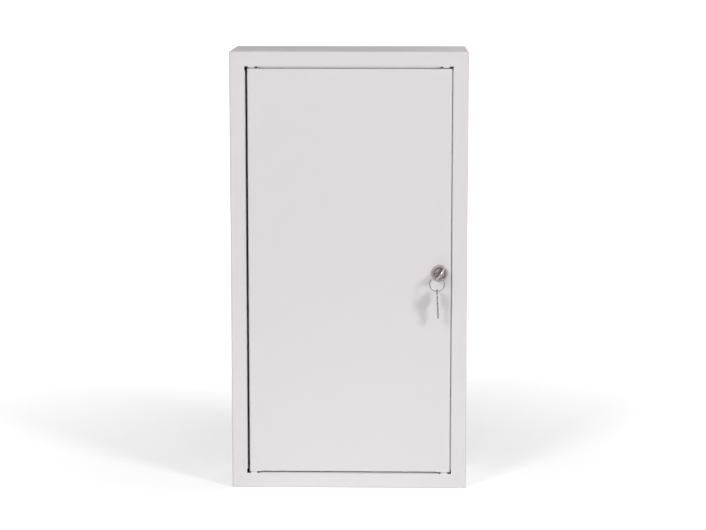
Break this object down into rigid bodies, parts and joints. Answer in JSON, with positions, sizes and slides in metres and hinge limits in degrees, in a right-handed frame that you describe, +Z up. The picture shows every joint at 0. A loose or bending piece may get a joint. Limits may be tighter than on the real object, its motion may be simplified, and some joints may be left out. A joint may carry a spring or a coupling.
{
  "type": "steel wall enclosure",
  "caption": "Wall-mounted sheet-steel enclosure with a flush keyed door, DIN rails, terminal bars and a windowed inner cover for modular circuit devices.",
  "frame": {"origin": "centre of the back face, on the wall", "axes": "+Z up, +Y into the wall, +X to the right seen from the front; the door faces -Y"},
  "size_m": [0.3, 0.1581, 0.56],
  "materials": {
    "painted_steel": "light grey powder coat, fine orange peel, satin",
    "zinc_plated_steel": "bright zinc plated, satin",
    "bright_steel": "bright drawn steel",
    "chromed_zinc_alloy": "satin chrome plate",
    "nickel_plated_brass": "nickel plate, lightly worn",
    "brass": "machined brass",
    "blue_plastic": "blue moulded plastic",
    "green_plastic": "green moulded plastic",
    "white_nylon": "natural nylon",
    "black_rubber": "black rubber"
  },
  "bodies": {
    "enclosure": {"body_shell": "painted_steel", "back_panel": "painted_steel", "rim_left": "painted_steel", "rim_right": "painted_steel", "rim_top": "painted_steel", "rim_bottom": "painted_steel", "door_stops": "painted_steel", "weld_studs": "zinc_plated_steel", "upright_left": "zinc_plated_steel", "upright_right": "zinc_plated_steel", "upright_nuts": "zinc_plated_steel", "din_rail_top": "zinc_plated_steel", "din_rail_middle": "zinc_plated_steel", "din_rail_bottom": "zinc_plated_steel", "rail_screws": "zinc_plated_steel", "bar_carrier_top": "zinc_plated_steel", "bar_carrier_bottom": "zinc_plated_steel", "carrier_screws": "zinc_plated_steel", "neutral_bar": "brass", "neutral_bar_screws": "zinc_plated_steel", "neutral_bar_feet": "blue_plastic", "earth_bar": "brass", "earth_bar_screws": "zinc_plated_steel", "earth_bar_feet": "green_plastic", "body_earth_nut": "zinc_plated_steel", "cover_pillars": "zinc_plated_steel", "cover_plate": "painted_steel", "cover_screws": "white_nylon", "door_buffers": "black_rubber"},
    "door": {"door_panel": "painted_steel", "hinge_bracket_upper": "zinc_plated_steel", "hinge_bracket_lower": "zinc_plated_steel", "hinge_pin_upper": "bright_steel", "hinge_pin_lower": "bright_steel", "hinge_clips": "zinc_plated_steel", "hinge_washers": "white_nylon", "lock_body": "chromed_zinc_alloy", "lock_nut": "zinc_plated_steel", "door_earth_stud": "zinc_plated_steel", "door_earth_nut": "zinc_plated_steel"},
    "lock_cylinder": {"lock_plug": "chromed_zinc_alloy", "lock_cam": "zinc_plated_steel", "cam_washer": "zinc_plated_steel", "cam_screw": "zinc_plated_steel"},
    "key_in_lock": {"lock_key": "nickel_plated_brass"},
    "ring": {"key_ring": "nickel_plated_brass"},
    "hanging_key": {"spare_key": "nickel_plated_brass"}
  },
  "joints": [
    {"name": "door_hinge", "type": "hinge", "parent": "enclosure", "child": "door", "pos_m": [-0.122, -0.1245, 0], "axis": [0, 0, -1], "range_deg": [0, 115]},
    {"name": "lock_turn", "type": "hinge", "parent": "door", "child": "lock_cylinder", "pos_m": [0.115, -0.13, 0], "axis": [0, 1, 0], "range_deg": [-35, 55]},
    {"name": "key_slide", "type": "slide", "parent": "lock_cylinder", "child": "key_in_lock", "axis": [0, -1, 0], "range_m": [0, 0.02]},
    {"name": "ring_swing", "type": "hinge", "parent": "key_in_lock", "child": "ring", "pos_m": [0.11153, -0.1484, -0.00496], "axis": [0, 1, 0], "range_deg": [-55, 90]},
    {"name": "hanging_key_swing", "type": "hinge", "parent": "ring", "child": "hanging_key", "pos_m": [0.11153, -0.1484, -0.02049], "axis": [1, 0, 0], "range_deg": [-35, 20]}
  ]
}
